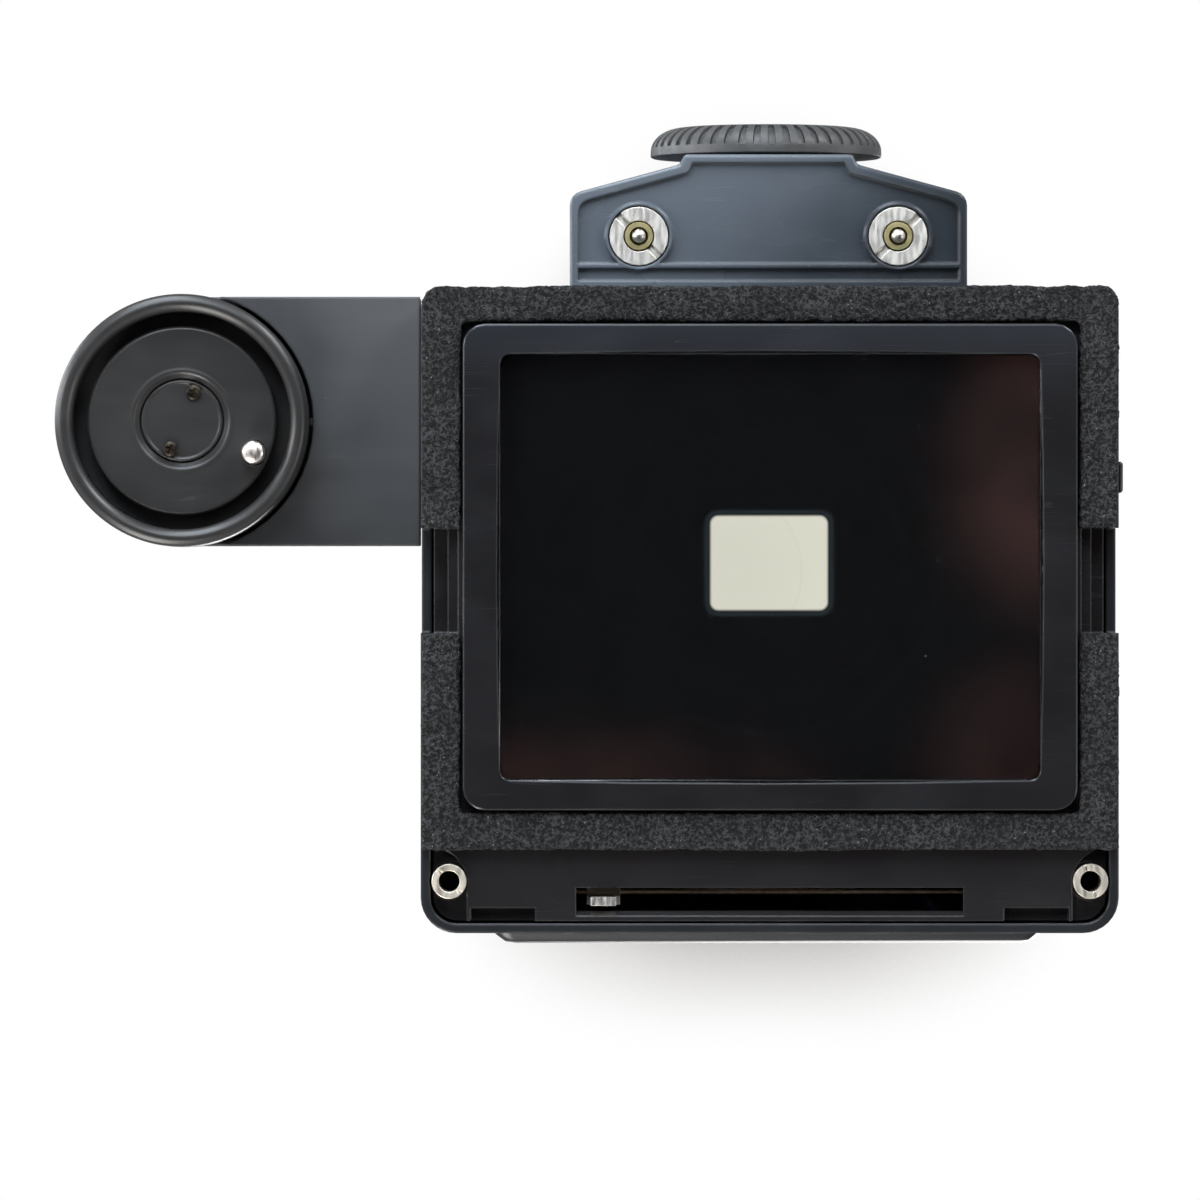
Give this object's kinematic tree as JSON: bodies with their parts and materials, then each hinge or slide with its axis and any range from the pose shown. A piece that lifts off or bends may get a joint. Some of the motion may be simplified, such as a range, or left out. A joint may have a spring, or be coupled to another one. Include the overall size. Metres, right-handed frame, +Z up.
{
  "type": "metered pentaprism viewfinder",
  "caption": "Interchangeable metered prism finder for a medium-format reflex camera, with entry window, eyepiece, battery contacts, aperture follower and shutter-dial arm.",
  "frame": {"origin": "centre of the entry window's outer glass face", "axes": "+Z up, away from the camera body; -Y towards the camera's lens; +Y towards the eyepiece; +X towards the shutter-dial arm"},
  "size_m": [0.132, 0.102, 0.058],
  "materials": {
    "black_enamel": "semi-gloss black enamel",
    "satin_black": "satin black enamel",
    "moulded_black": "moulded black",
    "seal_foam": "open-cell black foam",
    "optical_glass": "polished",
    "lens_glass": "coated",
    "nickel": "worn nickel plate",
    "steel": "satin",
    "bronze": "drawn",
    "brass": "turned",
    "amber_resin": "clear amber",
    "circuit_board": "laminate",
    "cord": "braided and insulated",
    "red_needle": "painted"
  },
  "bodies": {
    "housing": {"top_cover": "black_enamel", "base_plate": "satin_black", "window_frame": "satin_black", "window_glass": "optical_glass", "foam_seal_front": "seal_foam", "foam_seal_rear": "seal_foam", "guide_sleeve_left": "nickel", "guide_sleeve_right": "nickel", "guide_rod": "bronze", "follower_cord": "cord", "drive_pulley_post": "steel", "idler_pulley_post": "steel", "idler_spring": "steel", "aperture_resistor": "circuit_board", "pentaprism": "optical_glass", "prism_cradle": "satin_black", "eyepiece_housing": "black_enamel", "contact_nut_left": "nickel", "contact_nut_right": "nickel", "contact_insulator_left": "amber_resin", "contact_insulator_right": "amber_resin", "contact_spring_left": "steel", "contact_spring_right": "steel", "eyepiece_barrel": "satin_black", "eyepiece_mask": "satin_black", "eyepiece_lens_front": "lens_glass", "eyepiece_lens_rear": "lens_glass", "arm_housing": "black_enamel", "arm_bottom_plate": "satin_black", "shaft_bush": "brass", "drum_skirt": "satin_black", "speed_resistor": "circuit_board", "meter_movement": "steel", "light_cell_left": "amber_resin", "light_cell_right": "amber_resin", "circuit_board": "circuit_board", "lead_wire": "cord", "cover_screw_left": "steel", "cover_screw_right": "steel"},
    "follower": {"follower_slider": "steel"},
    "drive_pulley": {"drive_pulley": "brass", "aperture_wiper": "brass"},
    "idler_pulley": {"idler_pulley": "brass"},
    "contact_pin_left": {"contact_pin_left": "nickel"},
    "contact_pin_right": {"contact_pin_right": "nickel"},
    "eyepiece_ring": {"eyepiece_ring": "moulded_black"},
    "dial": {"dial_shaft": "steel", "coupling_disc": "satin_black", "hub_plate": "satin_black", "hub_screw_1": "steel", "hub_screw_2": "steel", "speed_dial": "black_enamel", "speed_wiper": "brass", "pin_leaf_spring": "steel"},
    "collar": {"dial_collar": "moulded_black"},
    "film_speed": {"film_speed_disc": "nickel"},
    "coupling_pin": {"coupling_pin": "nickel"},
    "meter_switch": {"meter_switch": "moulded_black"},
    "meter_needle": {"meter_needle": "red_needle"}
  },
  "joints": [
    {"name": "dial_turn", "type": "hinge", "parent": "housing", "child": "dial", "pos_m": [0.0725, 0.0181, 0.01], "axis": [0, 0, 1], "range_deg": [-150, 150], "deforming": ["pin_leaf_spring"]},
    {"name": "collar_lift", "type": "slide", "parent": "dial", "child": "collar", "axis": [0, 0, 1], "range_m": [0, 0.0015], "stiffness_N_per_m": 300, "springref_m": -0.002},
    {"name": "film_speed_turn", "type": "hinge", "parent": "dial", "child": "film_speed", "pos_m": [0.0725, 0.0181, 0.0257], "axis": [0, 0, 1], "range_deg": [-125, 125]},
    {"name": "coupling_pin_press", "type": "slide", "parent": "dial", "child": "coupling_pin", "axis": [0, 0, 1], "range_m": [0, 0.001], "stiffness_N_per_m": 300, "springref_m": -0.001, "deforming": ["pin_leaf_spring"]},
    {"name": "follower_slide", "type": "slide", "parent": "housing", "child": "follower", "axis": [-1, 0, 0], "range_m": [0, 0.0415], "stiffness_N_per_m": 20, "springref_m": -0.01},
    {"name": "drive_pulley_turn", "type": "hinge", "parent": "housing", "child": "drive_pulley", "pos_m": [0.0325, -0.033, 0.0092], "axis": [0, 0, 1], "range_deg": [-345, 5]},
    {"name": "idler_pulley_turn", "type": "hinge", "parent": "housing", "child": "idler_pulley", "pos_m": [-0.0325, -0.033, 0.0092], "axis": [0, 0, 1], "range_deg": [-345, 5], "deforming": ["idler_spring"]},
    {"name": "contact_left_press", "type": "slide", "parent": "housing", "child": "contact_pin_left", "axis": [0, 0, 1], "range_m": [0, 0.001], "stiffness_N_per_m": 300, "springref_m": -0.001, "deforming": ["contact_spring_left"]},
    {"name": "contact_right_press", "type": "slide", "parent": "housing", "child": "contact_pin_right", "axis": [0, 0, 1], "range_m": [0, 0.001], "stiffness_N_per_m": 300, "springref_m": -0.001, "deforming": ["contact_spring_right"]},
    {"name": "eyepiece_ring_turn", "type": "hinge", "parent": "housing", "child": "eyepiece_ring", "pos_m": [0, 0.0515, 0.027], "axis": [0, 1, 0], "continuous": true},
    {"name": "meter_switch_slide", "type": "slide", "parent": "housing", "child": "meter_switch", "axis": [0, 1, 0], "range_m": [0, 0.004]},
    {"name": "meter_needle_swing", "type": "hinge", "parent": "housing", "child": "meter_needle", "pos_m": [-0.0175, 0.0232, 0.02], "axis": [0, 1, 0], "range_deg": [-18, 18], "stiffness_Nm_per_rad": 0.00002}
  ],
  "couplings": [
    {"joint": "drive_pulley_turn", "follows": "follower_slide", "rad_per_m": -142.86},
    {"joint": "idler_pulley_turn", "follows": "follower_slide", "rad_per_m": -142.86}
  ]
}
